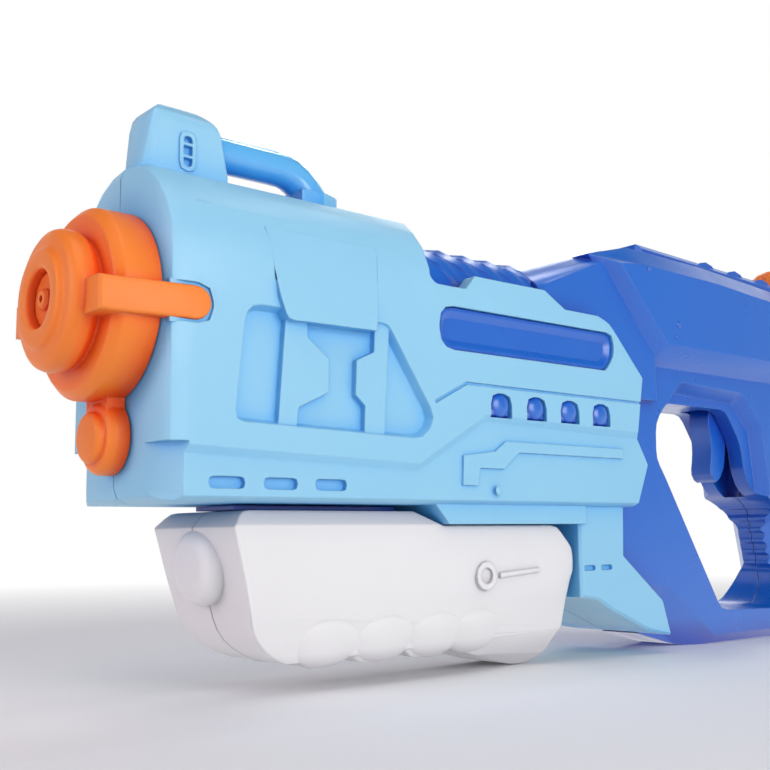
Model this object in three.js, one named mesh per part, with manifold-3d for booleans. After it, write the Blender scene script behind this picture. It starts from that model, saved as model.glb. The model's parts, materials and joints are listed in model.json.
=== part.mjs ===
// A toy water squirter: a pump-action water blaster, as an assembly of named pieces.
// Millimetres. X runs from the muzzle to the butt, Y across (the left side is -Y) and Z up.
// While modelling, the nozzle's axis is Y = Z = 0 and the casing's front face is X = 0.
// The group is then moved so that its origin lies under the middle of the finished toy.
import * as THREE from 'three';
import { mergeVertices } from 'three/addons/utils/BufferGeometryUtils.js';
import Module from 'manifold-3d';

const wasm = await Module();
wasm.setup();

// Fits shared by all pieces
const gap = 0.3;
const wall = 2.2;
const seam = gap / 2;

// Casing
const coverHalf = 29;
const coverSide = 4.4;
const coverFloor = -53;
const coverLength = 190;
const archCentre = 12;
const coverTop = archCentre + coverHalf;
const frontBevel = 4;
const stepFront = 90;
const bandDepth = 1.5;
const panelRise = 1.4;
const recessDepth = 2.8;
const padSink = 0.8;
const flankHalf = 25;
const flankFloor = -58.9;
const chinHalf = 24;
const chinLength = 28;
const chinFront = coverLength - chinLength;

// Body, measured from the casing's rear end
const bodyLength = 208;
const buttX = coverLength + bodyLength;
const receiverHalf = 23.4;
const receiverTop = 47.4;
const receiverFloor = 2;
const hoodHalf = 19;
const frameHalf = 16.5;
const stripHalf = 12;
const stripTop = 52.6;
const baseFloor = -106;

// Nozzle
const nozzleRadius = 26;
const nozzleLength = 12.8;
const discRadius = 19.1;
const muzzleX = -23;
const jetSeat = muzzleX + 4;
const spigotRadius = 12;
const spigotDepth = 8;
const tongueOuter = 29.8;
const tongueFront = -18;
const tongueRear = 12;
const tongueZ = -2;
const tongueHalf = 4.5;
const knobRadius = 10;
const knobZ = -35.6;
const knobPin = 5;

// Water way
const tubeRadius = 4;
const tubeBore = 2.5;
const valveZ = -4;
const valveFront = coverLength + 12;
const valveLength = 18;
const valveRear = valveFront + valveLength;
const valveHalf = 6;
const valveFloor = -12;
const valveTop = 5;
const plungerRadius = 2;
const plungerCollar = 3.6;

// Pump
const pumpHalf = 22;
const pumpTop = -54.9;
const pumpRearTop = -59.3;
const pumpBottom = -98;
const pumpAxisZ = -72;
const pumpStroke = 52;
const cylinderRadius = 10;
const cylinderBore = 8;
const rodRadius = 3;
const railFront = 34;
const railRear = 44;
const webHalf = 4;
const cylinderFront = railFront + 1;
const cylinderRear = chinFront + 8;

// Trigger
const pivotX = coverLength + 93;
const pivotZ = -14;
const pinRadius = 2;
const triggerHalf = 4.8;

// Tank and cap
const tankHalf = 18.5;
const neckX = buttX - 48;
const neckRadius = 11.5;
const neckBore = 9;
const neckTop = 55;
const capRadius = 16;
const capTop = 61;
const capSkirt = 16;

// Screws
const shankRadius = 1.3;
const headRadius = 2.8;
const headHeight = 2;
const screwLength = 16;
const screwSides = 6;
const bossRadius = 3.8;

function solid(geometry) {
  const bare = new THREE.BufferGeometry();
  bare.setAttribute('position', geometry.getAttribute('position'));
  bare.setIndex(geometry.index);
  const merged = mergeVertices(bare, 1e-4);
  const corners = merged.index.array;
  const triangles = [];
  for (let i = 0; i < corners.length; i += 3) {
    const [a, b, c] = corners.slice(i, i + 3);
    if (a !== b && b !== c && c !== a) triangles.push(a, b, c);
  }
  const vertProperties = Float32Array.from(merged.getAttribute('position').array);
  const make = (list) => new wasm.Manifold(
    new wasm.Mesh({ numProp: 3, vertProperties, triVerts: Uint32Array.from(list) }),
  );
  const made = make(triangles);
  return made.volume() > 0 ? made : make(triangles.reverse());
}

function geometryOf(made) {
  const mesh = made.getMesh();
  const geometry = new THREE.BufferGeometry();
  geometry.setAttribute('position', new THREE.BufferAttribute(mesh.vertProperties, 3));
  geometry.setIndex(new THREE.BufferAttribute(mesh.triVerts, 1));
  geometry.computeVertexNormals();
  return geometry;
}

const mirrored = (made) => solid(geometryOf(made).scale(1, -1, 1));
const union = (first, ...rest) => rest.reduce((sum, piece) => sum.add(piece), first);
const cut = (first, ...rest) => rest.reduce((left, piece) => left.subtract(piece), first);

// A closed outline from [x, y, setback] points: a corner with a setback is drawn as a curve,
// which takes at most 0.45 of the shorter side next to it
function outline(points) {
  const shape = new THREE.Shape();
  points.forEach(([x, y, setback = 0], i) => {
    const corner = new THREE.Vector2(x, y);
    const before = new THREE.Vector2(...points.at(i - 1)).sub(corner);
    const after = new THREE.Vector2(...points[(i + 1) % points.length]).sub(corner);
    const reach = Math.min(setback, 0.45 * before.length(), 0.45 * after.length());
    const start = corner.clone().add(before.setLength(reach));
    const end = corner.clone().add(after.setLength(reach));
    if (i === 0) shape.moveTo(start.x, start.y);
    else shape.lineTo(start.x, start.y);
    if (reach === 0) return;
    const bend = new THREE.QuadraticBezierCurve(start, corner, end);
    const bends = THREE.MathUtils.clamp(Math.round(reach / 1.8), 2, 4);
    bend.getPoints(bends).slice(1).forEach((point) => shape.lineTo(point.x, point.y));
  });
  shape.closePath();
  return shape;
}

// The same outline with every side moved inwards, or outwards if the distance is negative
function inset(points, distance) {
  const corners = points.map(([x, y]) => new THREE.Vector2(x, y));
  const turn = Math.sign(THREE.ShapeUtils.area(corners));
  const normal = (a, b) => new THREE.Vector2(a.y - b.y, b.x - a.x).setLength(turn);
  return points.map(([, , setback = 0], i) => {
    const before = normal(corners.at(i - 1), corners[i]);
    const after = normal(corners[i], corners[(i + 1) % corners.length]);
    const share = distance / (1 + before.dot(after));
    const moved = corners[i].clone().add(before.add(after).multiplyScalar(share));
    return [moved.x, moved.y, setback > distance ? setback - distance * 0.5 : 0];
  });
}

const grow = (points, distance) => inset(points, -distance);

// Points of what lies behind the casing are measured from the casing's rear end
const behind = (points) => points.map(([x, z, setback]) => [coverLength + x, z, setback]);
const flat = { bevelEnabled: false, curveSegments: 3 };
const sectionToX = new THREE.Matrix4().makeBasis(
  new THREE.Vector3(0, 1, 0),
  new THREE.Vector3(0, 0, 1),
  new THREE.Vector3(1, 0, 0),
);

// A side view outline (X, Z) carried across, from y0 to y1
function across(points, y0, y1) {
  const geometry = new THREE.ExtrudeGeometry(outline(points), { ...flat, depth: y1 - y0 });
  return solid(geometry.rotateX(Math.PI / 2).translate(0, y1, 0));
}

// A front view outline (Y, Z) carried along X
function along(shape, x0, x1, bevel = 0, segments = 6) {
  const options = { ...flat, curveSegments: segments, depth: x1 - x0 - 2 * bevel };
  if (bevel > 0) {
    Object.assign(options, {
      bevelEnabled: true,
      bevelThickness: bevel,
      bevelSize: bevel,
      bevelOffset: -bevel,
      bevelSegments: 2,
    });
  }
  const geometry = new THREE.ExtrudeGeometry(shape, options);
  return solid(geometry.applyMatrix4(sectionToX).translate(x0 + bevel, 0, 0));
}

// A plan outline (X, Y) carried upwards
function upright(points, z0, z1) {
  const geometry = new THREE.ExtrudeGeometry(outline(points), { ...flat, depth: z1 - z0 });
  return solid(geometry.translate(0, 0, z0));
}

// A left half whose outer edges are bevelled: the side view outline is full size inside halfWidth - inward
function bevelledHalf(points, halfWidth, inward, size) {
  const geometry = new THREE.ExtrudeGeometry(outline(points), {
    depth: halfWidth - inward,
    bevelEnabled: true,
    bevelThickness: inward,
    bevelSize: size,
    bevelOffset: -size,
    bevelSegments: 1,
    curveSegments: 3,
  });
  const whole = solid(geometry.rotateX(Math.PI / 2));
  return cut(whole, box(-500, 500, -seam, 100, -300, 300));
}

// A cutter for a sunk area of the left side, with sloping walls
function sunk(points, surface, depth, slope) {
  const geometry = new THREE.ExtrudeGeometry(outline(points), {
    depth: 3 * coverSide,
    bevelEnabled: true,
    bevelThickness: depth,
    bevelSize: slope,
    bevelOffset: -slope,
    bevelSegments: 1,
    curveSegments: 3,
  });
  return solid(geometry.rotateX(Math.PI / 2).translate(0, -surface, 0));
}

function box(x0, x1, y0, y1, z0, z1) {
  const geometry = new THREE.BoxGeometry(x1 - x0, y1 - y0, z1 - z0);
  return solid(geometry.translate((x0 + x1) / 2, (y0 + y1) / 2, (z0 + z1) / 2));
}

// A turned piece from [radius, height] points; a ring's profile is closed on itself
function turned(profile, axis, segments = 24) {
  const points = profile.map(([radius, height]) => new THREE.Vector2(radius, height));
  const geometry = new THREE.LatheGeometry(points, segments);
  if (axis === 'x') geometry.rotateZ(-Math.PI / 2);
  if (axis === 'z') geometry.rotateX(Math.PI / 2);
  return solid(geometry);
}

const rod = (radius, from, to, axis, segments = 12) => turned(
  [[0, from], [radius, from], [radius, to], [0, to]],
  axis,
  segments,
);

const ring = (radius, bore, from, to, axis, segments = 12) => turned(
  [[bore, from], [radius, from], [radius, to], [bore, to], [bore, from]],
  axis,
  segments,
);

// A hose along hand-chosen points, with its bore
function hose(points, radius, bore, steps, segments = 4) {
  const path = new THREE.CatmullRomCurve3(points.map((point) => new THREE.Vector3(...point)));
  const shape = new THREE.Shape().absarc(0, 0, radius, 0, 2 * Math.PI);
  if (bore > 0) shape.holes.push(new THREE.Path().absarc(0, 0, bore, 0, 2 * Math.PI));
  const options = { steps, extrudePath: path, bevelEnabled: false, curveSegments: segments };
  return solid(new THREE.ExtrudeGeometry(shape, options));
}

const moved = (made, x, y, z) => solid(geometryOf(made).translate(x, y, z));

const plastic = (color, roughness) => new THREE.MeshStandardMaterial({ color, roughness, metalness: 0 });
const steel = new THREE.MeshStandardMaterial({ color: 0xb8bcc2, roughness: 0.35, metalness: 0.9 });
const skyBlue = plastic(0x8fcdf2, 0.45);
const deepBlue = plastic(0x1f5fd0, 0.35);
const orange = plastic(0xf5802f, 0.42);
const white = plastic(0xefeff1, 0.5);
const rubber = plastic(0x2a2c30, 0.8);
const clearGrey = plastic(0xc9d3d8, 0.3);

const toy = new THREE.Group();
function place(name, made, material) {
  const mesh = new THREE.Mesh(geometryOf(made), material);
  mesh.name = name;
  toy.add(mesh);
}

// The casing's side view, front to rear over the top, with the stepped cut-out behind the tall front
const coverPoints = [
  [0, coverFloor],
  ...behind([[0, coverFloor], [7, -37.7], [0, -26.5], [4, -6.2], [-14, 12.2, 3], [-20, 14.2]]),
  ...behind([[-37.6, 14.3], [-47, 20]]),
  [stepFront + 20, 20],
  [stepFront + 15, 15],
  [stepFront + 2, 15, 1.5],
  [stepFront, 17, 1],
  [stepFront, 33],
  [stepFront + 3, coverTop + 1],
  [0, coverTop + 1],
];
const flankPoints = [
  [stepFront + 2, coverFloor + wall],
  [stepFront + 9.6, flankFloor],
  [chinFront + wall, flankFloor],
  [chinFront + wall, coverFloor + wall],
];
const chinPoints = [
  [chinFront, coverFloor + wall],
  [chinFront, -83.8],
  [chinFront + 9, -85.1],
  [chinFront + 16, -88.8],
  ...behind([[9, -97.4], [22, -99.6], [18, -86.6], [-4, -70], [-3, coverFloor + wall]]),
];

const chinRoomFloor = pumpAxisZ - cylinderRadius - gap;
const chinRoom = [
  [chinFront + wall, coverFloor],
  [chinFront + wall, chinRoomFloor],
  [chinFront + 18, chinRoomFloor],
  ...behind([[-6, -73], [-6, coverFloor]]),
];

// The casing's front view: upright sides under a round top, taken in by a distance
function coverSection(distance, floor) {
  const half = coverHalf - distance;
  const corner = 6;
  const shape = new THREE.Shape();
  shape.moveTo(half - corner, floor);
  shape.quadraticCurveTo(half, floor, half, floor + corner);
  shape.lineTo(half, archCentre);
  shape.absarc(0, archCentre, half, 0, Math.PI);
  shape.lineTo(-half, floor + corner);
  shape.quadraticCurveTo(-half, floor, corner - half, floor);
  shape.closePath();
  return shape;
}

// The room inside is open along the stepped cut-out, where the ribbed jacket comes out
const coverRoomPoints = [
  ...coverPoints.slice(0, 6),
  [coverLength - 14, coverTop],
  [0, coverTop],
];
const coverInside = across(inset(coverRoomPoints, wall), -coverHalf, 1)
  .intersect(along(coverSection(coverSide, coverFloor + wall), 0, coverLength + 30, 0, 4));

const recessPoints = [
  [23, 0, 5],
  [19.5, -32, 3],
  [86, -33.6, 5],
  [91, -27, 4],
  [72.5, 0, 2],
];
const padPoints = [
  [[36.5, 2], [33.5, -35], [39.5, -35], [40.5, -27], [51, -22], [51, -12.5], [43.5, -7], [43.5, 2]],
  [[68, 2], [67.5, -9], [61, -12], [60.5, -22], [64, -25], [63.5, -35], [71, -35], [73.5, 2]],
];
const panelPoints = [
  [30, 23],
  [33, 3],
  [35.5, -3.4, 2],
  [67, -3],
  [69.5, 23],
];
const stepLine = [[-20, -37.8], [84, -41], ...behind([[-77, -24.5], [40, -27.2]])];
const lowPanelPoints = behind([
  [-87, -37.8],
  [-73, -36],
  [-68, -32.6],
  [-8, -32.6],
  [-8, -36],
  [-62, -36],
  [-69, -41.5],
  [-80, -41.5],
  [-81, -47],
  [-87.5, -47],
]);
const ventCount = 4;
const ventPitch = 16.7;
const ventStart = coverLength - 70.4;
const ventHalf = 4.8;
const ventRise = 3.9;
const ventZ = -21.3;
const slotCount = 3;
const slotStart = 18.3;
const slotPitch = 16.9;
const slotHalf = 5.5;
const slotRise = 1.6;
const slotZ = -48;
const slotDepth = 3.2;
const chinSlotZ = -74;
const badgePoints = [
  [93, -5.2, 6.5],
  [93, 8.7, 6.5],
  ...behind([[-12, 8.7, 6], [-12, 0, 3], [-17, -5.2, 1]]),
];

// A D-shaped vent window, round at the top, taken in by a distance
function ventPoints(index, distance) {
  const x = ventStart + index * ventPitch;
  return inset([
    [x - ventHalf, ventZ - ventRise],
    [x + ventHalf, ventZ - ventRise],
    [x + ventHalf, ventZ + ventRise, ventHalf],
    [x - ventHalf, ventZ + ventRise, ventHalf],
  ], distance);
}

// A slot with round ends
function slotPoints(x, z, half, rise, round = rise) {
  return [
    [x - half, z - rise, round],
    [x + half, z - rise, round],
    [x + half, z + rise, round],
    [x - half, z + rise, round],
  ];
}

const coverScrews = [[12, 24], [79, 13], ...behind([[-7, -20], [-6, -86]])];
const chinScrew = 3;
const bodyScrews = behind([[24, 38], [34, -66], [72, -100], [116, -100], [bodyLength - 14, 4]]);
const pumpScrews = [[60, -91], [chinFront - 30, -90]];
const tonguePoints = [
  [tongueFront, tongueZ - tongueHalf],
  [tongueRear, tongueZ - tongueHalf, 4],
  [tongueRear, tongueZ + tongueHalf, 4],
  [tongueFront, tongueZ + tongueHalf],
];

function buildCoverHalf() {
  const chin = bevelledHalf(chinPoints, chinHalf, 1, 1);
  const chinInside = across(chinRoom, -chinHalf + wall, 1);
  const flank = across(flankPoints, -flankHalf, -seam);
  const flankInside = across(inset(flankPoints, wall), -flankHalf + wall, 1);
  const shell = across(coverPoints, -coverHalf - 1, -seam)
    .intersect(along(coverSection(0, coverFloor), 0, coverLength + 40, frontBevel));
  const panel = across(panelPoints, -coverHalf - 5, -coverHalf + coverSide)
    .intersect(along(coverSection(-panelRise, coverFloor), 0, coverLength));
  const chamfer = [[-1, -15], [-1, -40], [9, -40], [6.5, -coverHalf - 0.5]];
  const inside = cut(coverInside, upright(grow(chamfer, wall), -60, -34));
  const band = [...stepLine, [coverLength + 40, -70], [-20, -70]];
  const lowPanel = across(lowPanelPoints, -coverHalf + bandDepth - 0.8, -coverHalf + coverSide);
  const pads = padPoints.map((points) => across(points, -coverHalf + padSink, -coverHalf + coverSide));
  const recess = sunk(recessPoints, coverHalf, recessDepth, 1.2);
  const groove = [
    [90.5, -21.6],
    [104, -14.8],
    [coverLength + 5, -15],
    [coverLength + 5, -15.9],
    [104.3, -15.7],
    [91, -22.4],
  ];

  let half = union(cut(shell, inside), panel);
  half = cut(half, sunk(band, coverHalf, bandDepth, 2.2), upright(chamfer, -60, -37.8));
  half = union(half, lowPanel.intersect(shell), cut(flank, flankInside), cut(chin, chinInside));
  half = cut(half, cut(recess, panel, ...pads));
  half = cut(half, across(groove, -coverHalf - 1, -coverHalf + 0.6));
  for (let i = 0; i < slotCount; i += 1) {
    const slot = slotPoints(slotStart + i * slotPitch, slotZ, slotHalf, slotRise);
    half = cut(half, across(slot, -40, -coverHalf + slotDepth));
  }
  [4.5, 13.5].forEach((x) => {
    half = cut(half, across(slotPoints(chinFront + x, chinSlotZ, 3, 0.9), -40, -chinHalf + 1.2));
  });
  for (let i = 0; i < ventCount; i += 1) half = cut(half, across(ventPoints(i, 0), -40, -coverHalf + 6));
  half = cut(half, across(badgePoints, -40, -coverHalf + 6));
  half = cut(half, across(grow(tonguePoints, 0.8), -40, -tongueOuter + wall + 1.5));
  coverScrews.forEach(([x, z], index) => {
    const side = index === chinScrew ? chinHalf - 1 : coverHalf - coverSide + 0.5;
    half = half.add(moved(rod(bossRadius, -side, -seam, 'y', 8), x, 0, z));
  });
  half = cut(
    half,
    rod(spigotRadius + gap, -5, 10, 'x', 20),
    moved(rod(knobPin + gap, -5, 10, 'x'), 0, 0, knobZ),
    moved(rod(cylinderRadius + gap, chinFront - 5, chinFront + 5, 'x', 20), 0, 0, pumpAxisZ),
    moved(rod(tubeRadius + gap, coverLength - 20, coverLength + 10, 'x'), 0, 0, valveZ),
  );
  return half;
}

function screw([x, z], headY) {
  const profile = [
    [0, -screwLength],
    [shankRadius, -screwLength],
    [shankRadius, 0],
    [headRadius, 0],
    [headRadius * 0.8, headHeight],
    [0, headHeight],
  ];
  return moved(turned(profile, 'y', screwSides), x, headY, z);
}

// The hole that a screw's head and shank need, from the right side to past its tip
function screwHole([x, z], headY) {
  const profile = [
    [0, -screwLength - gap],
    [shankRadius + gap, -screwLength - gap],
    [shankRadius + gap, -gap],
    [headRadius + gap, -gap],
    [headRadius + gap, 60],
    [0, 60],
  ];
  return moved(turned(profile, 'y', screwSides), x, headY, z);
}

function addScrews(prefix, places, headY, right, left) {
  let halves = [right, left];
  places.forEach((at, index) => {
    place(`${prefix}_screw_${index + 1}`, screw(at, headY), steel);
    halves = halves.map((half) => cut(half, screwHole(at, headY)));
  });
  return halves;
}

// The ribs lean back from the middle down to each side, so a rib is two mirrored hoses
function jacket() {
  const half = coverHalf - coverSide - 2.1;
  const front = stepFront - 5.5;
  const rear = coverLength - 40;
  const centre = 10;
  const ribRadius = 3.4;
  const ribCount = 5;
  const ribStart = stepFront + 7;
  const ribPitch = 11.4;
  const lean = 12;
  const section = (distance) => {
    const shape = new THREE.Shape();
    shape.moveTo(half - distance, -12 + distance);
    shape.absarc(0, centre, half - distance, 0, Math.PI);
    shape.lineTo(distance - half, -12 + distance);
    shape.closePath();
    return shape;
  };
  let made = along(section(ribRadius * 0.5), front, rear, 0, 5);
  const envelope = along(section(0), front, rear, 0, 6);
  const rib = (index) => {
    const points = [];
    for (let step = 0; step <= 5; step += 1) {
      const angle = (step / 5) * 1.75 - 0.1;
      const radius = half - ribRadius - gap;
      const x = ribStart + index * ribPitch + lean * Math.max(angle, 0);
      points.push([x, -radius * Math.sin(angle), centre + radius * Math.cos(angle)]);
    }
    return hose(points, ribRadius, 0, 4, 3);
  };
  for (let i = 0; i < ribCount; i += 1) {
    const one = rib(i);
    made = union(made, one, mirrored(one));
  }
  made = made.intersect(envelope);
  made = cut(made, along(section(ribRadius + wall), front + wall, rear - wall, 0, 4));
  made = cut(made, rod(tubeRadius + 1.5, front - 5, rear + 5, 'x', 10));
  return cut(made, box(front + 10, rear - 10, -8, 8, -20, -5));
}

function nozzleCap() {
  const profile = [
    [5.3, jetSeat],
    [7.8, jetSeat],
    [7.8, muzzleX + 0.8],
    [8.6, muzzleX],
    [12.8, muzzleX],
    [13.8, muzzleX + 1.4],
    [discRadius - 2.4, muzzleX + 1.8],
    [discRadius - 0.6, muzzleX + 3],
    [discRadius, muzzleX + 4.8],
    [discRadius, -nozzleLength - 2.6],
    [discRadius - 1.8, -nozzleLength],
    [nozzleRadius - 2.4, -nozzleLength],
    [nozzleRadius, -nozzleLength + 2.4],
    [nozzleRadius, -gap],
    [spigotRadius, -gap],
    [spigotRadius, spigotDepth],
    [5.3, spigotDepth],
    [5.3, jetSeat],
  ];
  const knobProfile = [
    [0, -8.4],
    [6, -8.4],
    [6.9, -7.6],
    [6.9, -6.2],
    [8.2, -6.2],
    [9.4, -5.4],
    [knobRadius, -4],
    [knobRadius, -gap],
    [knobPin, -gap],
    [knobPin, 6],
    [0, 6],
  ];
  const slope = 0.1;
  const outerAt = (x) => -tongueOuter + slope * (tongueRear - x);
  const plan = [
    [tongueFront, -discRadius + 3],
    [tongueFront, outerAt(tongueFront)],
    [tongueRear, outerAt(tongueRear)],
    [tongueRear, outerAt(tongueRear) + wall],
    [-gap, outerAt(0) + wall],
    [-gap, -discRadius + 3],
  ];
  const tongue = upright(plan, tongueZ - 10, tongueZ + 10).intersect(across(tonguePoints, -40, 0));
  const neck = [[-6.5, -20], [6.5, -20], [5.5, knobZ], [-5.5, knobZ]];
  return union(
    turned(profile, 'x', 28),
    tongue,
    mirrored(tongue),
    moved(turned(knobProfile, 'x', 16), 0, 0, knobZ),
    along(outline(neck), -5.5, -gap),
  );
}

function nozzleJet() {
  const tip = muzzleX + 1.2;
  return turned([
    [1, tip],
    [2.2, tip],
    [3, tip + 0.8],
    [3, jetSeat - gap - 1],
    [7.2, jetSeat - gap - 1],
    [7.2, jetSeat - gap],
    [5, jetSeat - gap],
    [5, -4],
    [tubeBore, -4],
    [1, muzzleX + 6],
    [1, tip],
  ], 'x', 12);
}

// The tower is one side view, cut by a plan with chamfered front corners and a crowned front view
function sightLoop() {
  const towerHalf = 7.4;
  const barRadius = 5.2;
  const barZ = coverTop + 10;
  const towerSide = [
    [3.6, 30],
    [3.8, 42],
    [5.2, 53],
    [7, 58.5, 3],
    [10.5, 60.8, 3],
    [21, 59.8, 4],
    [27, 56, 3],
    [30, 42],
    [30, 30],
  ];
  const towerPlan = [
    [3, -4.6],
    [3, 4.6],
    [7.8, towerHalf],
    [31, towerHalf],
    [31, -towerHalf],
    [7.8, -towerHalf],
  ];
  const towerFront = [
    [-towerHalf, 30],
    [towerHalf, 30],
    [towerHalf, 57, 3],
    [2.6, 61, 3],
    [-2.6, 61, 3],
    [-towerHalf, 57, 3],
  ];
  const slot = (distance) => slotPoints(16.6, coverTop + 5.8, 2.1 - distance, 5 - distance, 2.1 - distance);
  const rungs = [45, 48.4].map((z) => box(13, 20, -towerHalf - 1, -towerHalf + 2, z, z + 0.8));
  let tower = across(towerSide, -towerHalf - 1, towerHalf + 1)
    .intersect(upright(towerPlan, 20, 70))
    .intersect(along(outline(towerFront), 0, 40));
  const rim = across(slot(-0.6), -towerHalf - 0.5, -towerHalf + 2);
  const window = cut(across(slot(0.7), -towerHalf - 1, -towerHalf + 1.2), ...rungs);
  tower = cut(union(tower, rim, mirrored(rim)), window, mirrored(window));
  const bar = hose([
    [24, 0, barZ],
    [41, 0, barZ],
    [56, 0, barZ - 0.6],
    [63, 0, barZ - 5],
    [69, 0, 38],
    [72, 0, 31],
  ], barRadius, 0, 16, 12);
  const footPlan = [[58, -5.5], [66, -6.3, 2], [74, -3, 2], [74, 3, 2], [66, 6.3, 2], [58, 5.5]];
  const foot = upright(footPlan, 30, coverTop + 4);
  const saddle = along(coverSection(-gap, coverFloor), -5, 100);
  return cut(union(tower, bar, foot), saddle);
}

function badgePlate() {
  const face = inset(badgePoints, gap);
  const plate = across(face, -coverHalf + 1, -coverHalf + coverSide + 0.5);
  const dish = sunk(inset(badgePoints, 1.4), coverHalf - 1, 1.2, 2);
  const flange = across(grow(badgePoints, 1.6), -coverHalf + coverSide + gap, -coverHalf + coverSide + 1.7);
  const room = across(inset(coverRoomPoints, wall + gap), -coverHalf, 0);
  return union(cut(plate, dish), flange.intersect(room));
}

function ventStrip() {
  const back = [
    [ventStart - 7, ventZ - 6],
    [ventStart + (ventCount - 1) * ventPitch + 7, ventZ - 6],
    [ventStart + (ventCount - 1) * ventPitch + 7, ventZ + 6],
    [ventStart - 7, ventZ + 6],
  ];
  let strip = across(back, -coverHalf + coverSide + gap, -coverHalf + coverSide + 1.9);
  for (let i = 0; i < ventCount; i += 1) {
    strip = strip.add(bevelledDome(ventPoints(i, gap)));
  }
  return strip;
}

function bevelledDome(points) {
  const inner = -coverHalf + coverSide + 1;
  const depth = coverSide - 1.3;
  const geometry = new THREE.ExtrudeGeometry(outline(points), {
    depth,
    bevelEnabled: true,
    bevelThickness: 1.6,
    bevelSize: 1.6,
    bevelOffset: -1.6,
    bevelSegments: 2,
    curveSegments: 3,
  });
  return solid(geometry.rotateX(Math.PI / 2).translate(0, inner - 0.2, 0));
}

// The receiver, guard and grip in side view
const receiverPoints = behind([
  [25.5, receiverFloor],
  [-9, receiverTop - 6],
  [14, receiverTop],
  [63, receiverTop - 0.6],
  [118, receiverTop - 3.7],
  [bodyLength - 16, receiverTop - 7.4],
  [bodyLength, 24],
  [bodyLength - 6, -22],
  [bodyLength - 18, -32],
  [bodyLength - 46, -8, 10],
  [bodyLength - 54, receiverFloor],
]);
const hoodPoints = behind([[-39.5, 8], [-39.5, 50], [26, 50], [26, -12], [0, -12]]);
const framePoints = behind([
  [-6, 8],
  [-6, -62],
  [20, -99.5],
  [46, baseFloor, 6],
  [150, baseFloor, 8],
  [159, -97, 8],
  [150, -40, 24],
  [166, -6, 10],
  [166, 8],
]);
const guardPoints = behind([
  [36, -11, 5],
  [28, -20, 4],
  [27.5, -34, 5],
  [32, -40, 5],
  [66, -93, 4],
  [113, -94.5, 5],
  [122, -85, 5],
  [113, -50, 4],
  [101, -45, 5],
  [96, -38, 4],
  [94, -25, 4],
  [84, -11, 4],
]);
const scoopPoints = behind([
  [33, -16],
  [45, -2.6, 3],
  [90, -4, 3],
  [104, -18, 3],
  [108, -52],
  [60, -54],
  [48, -38],
  [33, -34],
]);
const footChamfer = behind([[-30, -82], [32, -82], [62, -104], [62, -150], [-30, -150]]);
// The grip's front edge is narrowed on both sides, so that fingers close round it
const gripRelief = behind([[76, -62], [104, -46], [127, -48], [135, -83], [116, -93], [76, -88]]);
const serrationCount = 6;
const lugCount = 3;
const lugPitch = 22;
const lugRadius = 10.5;
const tankPoints = behind([
  [34, 8],
  [31.5, 34],
  [39, 41],
  [114, 40],
  [bodyLength - 26, 37],
  [bodyLength - 26, 8],
]);
const triggerPoints = behind([
  [84.5, -1.4, 1.5],
  [82.5, -9, 4],
  [81, -16, 4],
  [83, -27, 5],
  [80.5, -38, 3],
  [85, -42, 3],
  [91, -36, 4],
  [94, -20],
  [97.5, -10],
  [96, -1.4, 2],
]);

// The hood is a cone that rises from the jacket's end to the receiver, flat at the sides
function buildHood() {
  const front = coverLength - 39.5;
  const cone = turned([
    [0, front],
    [24.5, front],
    [39.5, front + 46],
    [39.5, front + 66],
    [0, front + 66],
  ], 'x', 24);
  return across(hoodPoints, -hoodHalf, -seam).intersect(moved(cone, 0, 0, 8));
}

function buildBodyHalf() {
  const tubeRoom = tubeRadius + gap;
  const receiver = bevelledHalf(receiverPoints, receiverHalf, 7, 8);
  const frame = bevelledHalf(framePoints, frameHalf, 3.5, 3.5);
  const strip = bevelledHalf(behind([
    [24, 40],
    [29, stripTop],
    [138, stripTop - 3.4],
    [142, 38],
  ]), stripHalf, 2, 2);
  let half = union(receiver, buildHood(), frame, strip);
  for (let i = 0; i < lugCount; i += 1) {
    const lug = rod(lugRadius, -stripHalf + 1, -seam, 'y', 14);
    half = half.add(moved(lug, coverLength + 76 + i * lugPitch, 0, stripTop - lugRadius - 0.4 - 0.6 * i));
  }
  half = cut(half, sunk(scoopPoints, frameHalf, 5, 4), sunk(footChamfer, frameHalf, 8, 12));
  half = cut(half, across(guardPoints, -60, 1), sunk(gripRelief, frameHalf, 11, 14));
  for (let i = 0; i < serrationCount; i += 1) {
    const notch = rod(2.4, -60, 0, 'y', 12);
    half = cut(half, moved(notch, coverLength + 112.8 + i * 1.2, 0, -54.5 - i * 4.8));
  }
  half = cut(half, across(grow(coverPoints, gap), -60, 1), across(grow(chinPoints, gap), -60, 1));
  half = cut(
    half,
    across(grow(tankPoints, gap), -tankHalf - gap, 1),
    box(coverLength + 75, coverLength + 110, -triggerHalf - gap, 1, -47, 1),
    box(valveRear - 1, coverLength + 87, -plungerCollar - 0.6, 1, valveZ - 4.2, valveZ + 4.2),
    box(valveFront - gap, valveRear + gap, -valveHalf - gap, 1, valveFloor - gap, valveTop + gap),
    box(valveFront + 2, coverLength + 34, -valveHalf, 1, valveTop, 30),
    moved(box(coverLength - 4, valveFront + 2, -tubeRoom, 1, -tubeRoom, tubeRoom), 0, 0, valveZ),
    across(behind([[8, -18], [21, -18], [21, -42], [32, -58], [13, -68], [0, -58], [0, -46]]), -12, 1),
    across(behind([[133, -86], [146, -88], [139, -44], [125, -50]]), -11, 1),
  );
  half = cut(half, moved(rod(neckRadius + 0.8, 30, 70, 'z', 20), neckX, 0, 0));
  half = cut(half, moved(rod(pinRadius + gap, -9.5 - gap, 1, 'y', 10), pivotX, 0, pivotZ));
  bodyScrews.forEach(([x, z]) => {
    half = half.add(moved(rod(bossRadius, -10, -seam, 'y', 8), x, 0, z));
  });
  return half;
}

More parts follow.
